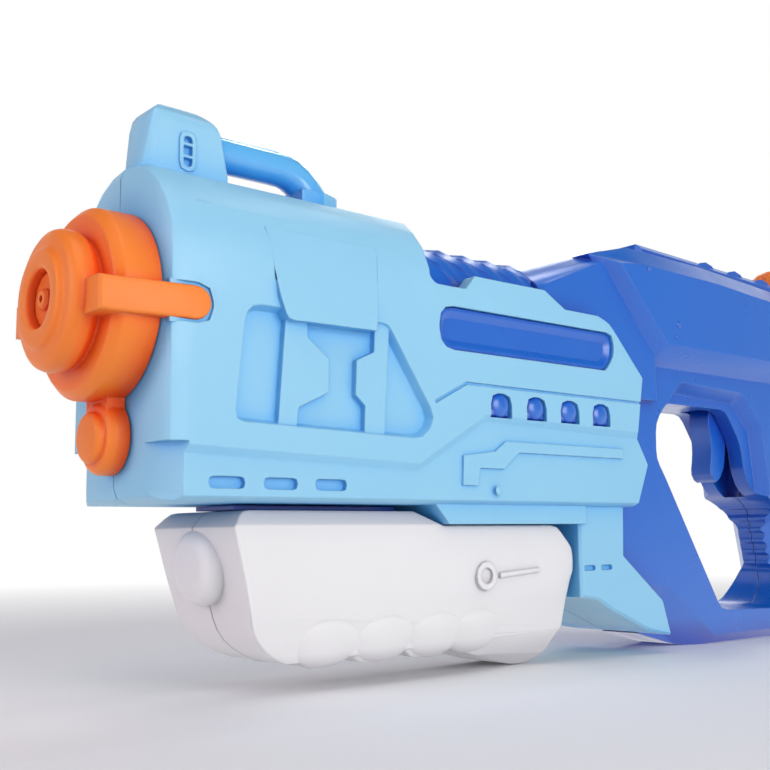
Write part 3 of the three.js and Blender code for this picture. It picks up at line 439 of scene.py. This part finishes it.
# %% Nozzle
nozzle_view = [
    (0, -19), (7.8, -19), (7.8, -22.4), (8.6, -23), (12.8, -23), (13.8, -21.6), (16.7, -21.2),
    (18.5, -20), (19.1, -18.2), (19.1, -15.4), (17.3, -12.8), (23.6, -12.8), (26, -10.4),
    (26, -0.3), (12, -0.3), (12, 8), (0, 8),
]
knob_view = [
    (0, -8.4), (6, -8.4), (6.9, -7.6), (6.9, -6.2), (8.2, -6.2), (9.4, -5.4), (10, -4), (10, -0.3),
    (5, -0.3), (5, 6), (0, 6),
]
knob_z = -35.6
tongue_x, tongue_z, tongue_half = 7.5, -2, 4.5


def round_end(x, z, half):
    """Half a circle round a place, from above it over the rear to below it."""
    half_turn = [math.pi * step / 12 for step in range(13)]
    return [(x + half * math.sin(a), z + half * math.cos(a)) for a in half_turn]


def tongue(mesh):
    """One bar from the disc's rim to the casing, round at its rear end."""
    front_x, ring_x, rear_y, splay = -18, -0.3, -29.8, 0.1
    rear_x, top, bottom = tongue_x + tongue_half, tongue_z + tongue_half, tongue_z - tongue_half
    outline = [(front_x, top), (ring_x, top)] + round_end(tongue_x, tongue_z, tongue_half)
    outline += [(ring_x, bottom), (front_x, bottom)]
    outer = [mesh.verts.new(toy(x, rear_y + splay * (rear_x - x), z)) for x, z in outline]
    face = mesh.faces.new(outer)
    grown = bmesh.ops.extrude_face_region(mesh, geom=[face])["geom"]
    thick_in_front, thin_on_casing = 0.0105, 0.0022
    casing_starts = toy(ring_x + 0.01, 0, 0).x
    for vert in new_points(grown):
        vert.co.y += thick_in_front if vert.co.x < casing_starts else thin_on_casing
    bmesh.ops.recalc_face_normals(mesh, faces=mesh.faces)
    bmesh.ops.bevel(
        mesh, geom=list(face.edges), offset=0.0008, affect="EDGES", segments=3, profile=0.5, material=-1
    )


nozzle = bmesh.new()
tongue(nozzle)
add_mirror_image(nozzle)
spun(nozzle, nozzle_view, 0, round_off=0.0005)
spun(nozzle, knob_view, knob_z, round_off=0.0004, steps=64)
neck = bmesh.ops.create_cube(nozzle, size=1.0)["verts"]
neck_size, neck_place = (0.0052, 0.0125, 0.016), toy(-2.9, 0, -27.5)
bmesh.ops.scale(nozzle, verts=neck, vec=neck_size)
bmesh.ops.translate(nozzle, verts=neck, vec=neck_place)
weld(nozzle)
nozzle_piece = stand_for("nozzle_cap", nozzle, "nozzle_turned")
print("nozzle faces:", len(nozzle_piece.data.polygons))

# %% [markdown]
# The front tower, its glossy carry bar and the pump handle have no sharp edges on the toy: their moulds
# were cut with generous rounds. The copies of these nodes first lose the lines inside each flat
# face, so that only true edges are left. On the handle the long ones are then bevelled. The tower has
# narrow facets there, and weighted normals blend them into the flat faces beside them.

# %% Rounded copies
def plain_copy(node, reshape):
    mesh = merged_copy(node)
    for vert in mesh.verts:
        reshape(vert)
    bmesh.ops.dissolve_limit(
        mesh, angle_limit=math.radians(2), verts=mesh.verts, edges=mesh.edges,
        use_dissolve_boundaries=False,
    )
    return mesh


def rounded_copy(node, wanted, offset, segments, reshape):
    mesh = plain_copy(node, reshape)
    sharp = math.radians(20)
    chosen = [
        e for e in mesh.edges if e.is_manifold and e.calc_face_angle_signed(0) > sharp and wanted(e)
    ]
    bmesh.ops.bevel(
        mesh, geom=chosen, offset=offset, affect="EDGES", segments=segments, profile=0.5, material=-1,
        clamp_overlap=True,
    )
    bmesh.ops.remove_doubles(mesh, verts=mesh.verts, dist=weld_distance)
    print(node, "rounded edges:", len(chosen))
    return mesh


def ramp(value, low, high):
    """Rises smoothly from 0 at low to 1 at high."""
    share = min(max((value - low) / (high - low), 0.0), 1.0)
    return share * share * (3 - 2 * share)


def sunk_foot(vert):
    """The tower's foot goes a little into the casing, so no dark gap shows round it."""
    depth, start, end = 0.0006, toy(0, 0, 56), toy(0, 0, 42)
    vert.co.z -= depth * ramp(-vert.co.z, -start.z, -end.z)


def on_handle(edge):
    """Long edges that lie away from the seam between the two halves."""
    away_from_seam, long_enough = 0.002, 0.006
    return all(abs(v.co.y) > away_from_seam for v in edge.verts) and edge.calc_length() > long_enough


def fuller_heel(vert):
    """The handle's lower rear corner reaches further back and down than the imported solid's."""
    start, end = toy(112, 0, -78), toy(142, 0, -94)
    back, down = 0.006, 0.0020
    share = ramp(vert.co.x, start.x, end.x) * ramp(-vert.co.z, -start.z, -end.z)
    vert.co.x += back * share
    vert.co.z -= down * share


tower_mesh = plain_copy("sight_loop", sunk_foot)
tower = stand_for("sight_loop", tower_mesh, "sight_loop_rounded", math.radians(70))
soft_faces = tower.modifiers.new("soft_faces", "WEIGHTED_NORMAL")
soft_faces.keep_sharp = True
soft_faces.weight = 100
tower.data.materials.append(sky_gloss)
bar_start, bar_end = toy(31.5, 0, 41), toy(66, 0, 41)
for face in tower.data.polygons:
    at = face.center
    face.material_index = int(bar_start.x < at.x < bar_end.x and at.z > bar_start.z)
print("tower faces:", len(tower.data.polygons))
for node in ("pump_grip_left", "pump_grip_right"):
    half_grip = rounded_copy(node, on_handle, offset=0.0018, segments=4, reshape=fuller_heel)
    stand_for(node, half_grip, node + "_rounded")

# %% [markdown]
# A low round dome closes the handle's front, where the pump rod is held. It is spun like the nozzle.
# A pale bed fills the casing's slot round each orange tongue, so the tongue lies in a shallow hollow.

# %% Handle dome and tongue beds
dome = bmesh.new()
dome_view = [(0, 22.4), (6.6, 22.5), (9.8, 23.9), (11.1, 26.6), (11.1, 29.5), (0, 29.5)]
pump_axis_z = -70
spun(dome, dome_view, pump_axis_z, round_off=0.0012)
weld(dome)
dome_piece = lay_on("pump_grip_left", dome, "handle_dome", math.radians(40))

bed = bmesh.new()
bed_half, bed_front_x, bed_y, bed_depth = tongue_half + 1.2, 0.4, -28.25, 0.0016
bed_line = [(bed_front_x, tongue_z + bed_half)] + round_end(tongue_x, tongue_z, bed_half)
bed_line.append((bed_front_x, tongue_z - bed_half))
bed_face = bed.faces.new([bed.verts.new(toy(x, bed_y, z)) for x, z in bed_line])
sunk = bmesh.ops.extrude_face_region(bed, geom=[bed_face])["geom"]
bmesh.ops.translate(bed, verts=new_points(sunk), vec=(0, bed_depth, 0))
add_mirror_image(bed)
bmesh.ops.recalc_face_normals(bed, faces=bed.faces)
bed_piece = lay_on("cover_left", bed, "tongue_beds", math.radians(30))
print("dome faces:", len(dome_piece.data.polygons), "bed faces:", len(bed_piece.data.polygons))

# %% [markdown]
# Fingers hold the pump handle by rounded lobes along its lower edge, and four dark domes bulge in
# the casing's small windows. Both are squashed balls that stand partly out of a wall. A ball is
# scaled, leaned to the wall's slope and set down, and its mirror image serves the other side.

# %% Finger lobes and vent domes
def half_sunk_balls(name, node, places, radii, lean):
    """Balls with the given radii in millimetres, at places on the left and again on the right."""
    mesh = bmesh.new()
    leaned = Matrix.Rotation(lean, 4, "X") @ Matrix.Diagonal((*radii, 1.0))
    for x, y, z in places:
        ball = bmesh.ops.create_uvsphere(mesh, u_segments=36, v_segments=18, radius=0.001)["verts"]
        bmesh.ops.transform(mesh, matrix=Matrix.Translation(toy(x, y, z)) @ leaned, verts=ball)
    add_mirror_image(mesh)
    bmesh.ops.recalc_face_normals(mesh, faces=mesh.faces)
    made = lay_on(node, mesh, name, math.radians(40))
    print(name, "faces:", len(made.data.polygons))


lobe_y, lobe_z, grip_slope = -15.6, -92.4, math.radians(26)
lobe_places = [(x, lobe_y, lobe_z) for x in (58.8, 80.2, 100.6, 118.0)]
half_sunk_balls("finger_lobes", "pump_grip_left", lobe_places, radii=(12.5, 2.6, 8.0), lean=grip_slope)
vent_x, vent_pitch, vent_y, vent_z = 119.6, 16.7, -27.3, -21.1
vent_places = [(vent_x + vent_pitch * count, vent_y, vent_z) for count in range(4)]
half_sunk_balls("vent_domes", "vent_strip_left", vent_places, radii=(4.4, 2.3, 4.2), lean=0.0)

# %% [markdown]
# Screws hold the halves together from the right side. Each has a low head with a cross in it.
# The cross is a plus-shaped loop inside the head's rim: the ring between the two is filled, the
# plus is pushed down and closed, and the rim is drawn out to the head's edge and the shank.

# %% Screws
def cross_screw(name):
    low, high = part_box(name)
    middle = (Vector(low) + Vector(high)) / 2
    head, top = (high[0] - low[0]) / 2, high[1]
    arm, wing, cross_depth = head * 0.16, head * 0.5, 0.0012
    mesh = bmesh.new()
    rim = bmesh.ops.create_circle(mesh, cap_ends=False, segments=24, radius=head * 0.8)["verts"]
    plus = []
    for turn in range(4):
        spoke = Matrix.Rotation(turn * math.pi / 2, 3, "Z")
        corners = ((arm, arm, 0), (arm, wing, 0), (-arm, wing, 0))
        plus += [mesh.verts.new(spoke @ Vector(corner)) for corner in corners]
    loop = [mesh.edges.new((a, b)) for a, b in zip(plus, plus[1:] + plus[:1])]
    ring = list(dict.fromkeys(e for v in rim for e in v.link_edges))
    bmesh.ops.triangle_fill(mesh, use_beauty=True, use_dissolve=False, edges=ring + loop)
    inside = [f for f in mesh.faces if all(v in plus for v in f.verts)]
    bmesh.ops.delete(mesh, geom=inside, context="FACES_ONLY")
    floor = new_points(bmesh.ops.extrude_edge_only(mesh, edges=loop)["geom"])
    bmesh.ops.translate(mesh, verts=floor, vec=(0, 0, -cross_depth))
    bmesh.ops.contextual_create(mesh, geom=floor)
    head_to_shank = ((1.25, 0.0009), (1.0, 0.0011), (0.46, 0.0), (1.0, 0.0138))
    for factor, drop in head_to_shank:
        grown = bmesh.ops.extrude_edge_only(mesh, edges=ring)["geom"]
        outer = new_points(grown)
        lines = [e for e in grown if isinstance(e, bmesh.types.BMEdge)]
        ring = [e for e in lines if all(v in outer for v in e.verts)]
        bmesh.ops.scale(mesh, verts=outer, vec=(factor, factor, 1))
        bmesh.ops.translate(mesh, verts=outer, vec=(0, 0, -drop))
    bmesh.ops.contextual_create(mesh, geom=outer)
    bmesh.ops.recalc_face_normals(mesh, faces=mesh.faces)
    upright = Matrix.Translation((middle.x, top, middle.z)) @ Matrix.Rotation(-math.pi / 2, 4, "X")
    bmesh.ops.transform(mesh, matrix=upright, verts=mesh.verts)
    return stand_for(name, mesh, name + "_cross")


screws = [cross_screw(name) for name in frame["nodes"] if "_screw_" in name]
print("screws:", len(screws), "faces each:", len(screws[0].data.polygons))

# %% [markdown]
# On each side three small round pips stand on the receiver and one on the casing's low panel, where pins
# in the mould pushed the part out. Each is a flat dome, spun from a short curve.

# %% Ejector pips
def pip(name, node, x, y, z, radius, height=0.6):
    mesh = bmesh.new()
    curve = [(math.sin(a) * radius / 1000, math.cos(a) * height / 1000) for a in (0, 0.45, 0.9, 1.35)]
    points = [mesh.verts.new((r, 0, h)) for r, h in curve]
    edges = [mesh.edges.new(pair) for pair in zip(points, points[1:])]
    bmesh.ops.spin(
        mesh, geom=points + edges, cent=(0, 0, 0), axis=(0, 0, 1), dvec=(0, 0, 0), angle=2 * math.pi,
        steps=20, use_merge=True,
    )
    weld(mesh)
    lay = Matrix.Translation(toy(x, y, z)) @ Matrix.Rotation(math.copysign(math.pi / 2, -y), 4, "X")
    bmesh.ops.transform(mesh, matrix=lay, verts=mesh.verts)
    return lay_on(node, mesh, name, math.radians(50))


spots = [
    (208.6, 23.35, 38.2, 1.1, "body"), (226.4, 23.35, 18.4, 1.3, "body"),
    (224.0, 23.35, 13.6, 0.7, "body"), (117.4, 28.95, -48.4, 1.5, "cover"),
]
pips = []
for count, (x, y, z, radius, shell) in enumerate(spots, 1):
    for side, sign in (("left", -1), ("right", 1)):
        pips.append(pip(f"pip_{count}_{side}", f"{shell}_{side}", x, sign * y, z, radius))
print("pips:", len(pips))

# %% [markdown]
# Plain soft light from five lamps. A broad, low one lights the side that the camera sees, a weaker one
# hangs above, and one in front gives the nose its faint pink. A small one makes the glint on the carry
# bar, and one behind lights the far side.

# %% Lamps
def lamp(name, place, aim, size, power, colour=(1.0, 1.0, 1.0)):
    data = bpy.data.lights.new(name, "AREA")
    data.size = size
    data.energy = power
    data.color = colour
    made = bpy.data.objects.new(name, data)
    made.location = place
    made.rotation_euler = (Vector(aim) - Vector(place)).to_track_quat("-Z", "Y").to_euler()
    bpy.context.collection.objects.link(made)


middle = (-0.05, 0.0, 0.08)
lamp("side_lamp", (-0.10, -0.85, 0.24), middle, 0.6, 5.0)
lamp("top_lamp", (-0.35, -0.30, 1.05), middle, 0.8, 3.6, (1.0, 0.95, 0.97))
lamp("front_lamp", (-1.10, 0.25, 0.35), middle, 0.5, 3.4, (1.0, 0.82, 0.93))
lamp("bar_lamp", (0.33, 0.12, 0.92), middle, 0.10, 0.5)
lamp("back_lamp", (0.55, 0.80, 0.60), middle, 0.6, 3.2)

# %% [markdown]
# A pale world fills the shadows, brighter at the horizon than overhead. To the camera, and through
# anything clear, it is plain white.

# %% World
world = bpy.data.worlds.new("pale_room")
world.use_nodes = True
room = world.node_tree
room.nodes.clear()
seen = add(room, "ShaderNodeLightPath")
either = combine(room, "MAXIMUM", seen.outputs["Is Camera Ray"], seen.outputs["Is Transmission Ray"])
aim = add(room, "ShaderNodeTexCoord").outputs["Generated"]
height = add(room, "ShaderNodeSeparateXYZ", i0=aim).outputs[2]
sky = remap(room, height, 0.0, 0.8, 0.54, 0.07)
fill = add(room, "ShaderNodeBackground", Color=(0.94, 0.97, 1.0, 1.0), Strength=sky)
white = add(room, "ShaderNodeBackground", Color=(1.0, 1.0, 1.0, 1.0), Strength=1.0)
both = add(room, "ShaderNodeMixShader", i0=either, i1=fill.outputs[0], i2=white.outputs[0])
add(room, "ShaderNodeOutputWorld", Surface=both.outputs[0])
bpy.context.scene.world = world
bpy.context.scene.view_settings.view_transform = "Standard"
print("world:", world.name)

# %% [markdown]
# Close to the toy the paper floor takes its shadow. Further away it is white to the camera, and glossy
# surfaces mirror it as white, so the background is plain.

# %% Paper floor
paper, tree, output = fresh("pale_paper")
place = add(tree, "ShaderNodeTexCoord").outputs["Object"]
fibres = add(tree, "ShaderNodeTexNoise", Vector=place, Scale=6.0, Detail=4.0)
tone = blend(tree, fibres.outputs["Fac"], linear(236, 237, 239), linear(242, 243, 245))
matt = add(tree, "ShaderNodeBsdfPrincipled", Roughness=0.9)
tree.links.new(tone, matt.inputs["Base Color"])
away = add(tree, "ShaderNodeVectorMath", {"operation": "LENGTH"}, i0=place)
far = remap(tree, away.outputs["Value"], 0.25, 0.75, 0.0, 1.0)
eye = add(tree, "ShaderNodeLightPath")
distant = combine(tree, "MULTIPLY", far, eye.outputs["Is Camera Ray"])
blank = combine(tree, "MAXIMUM", distant, eye.outputs["Is Glossy Ray"])
glow = add(tree, "ShaderNodeEmission", Color=(1.0, 1.0, 1.0, 1.0), Strength=1.0)
ground = add(tree, "ShaderNodeMixShader", i0=blank, i1=matt.outputs[0], i2=glow.outputs[0])
tree.links.new(ground.outputs[0], output.inputs["Surface"])
sweep.data.materials.append(paper)
print("floor finish:", paper.name)
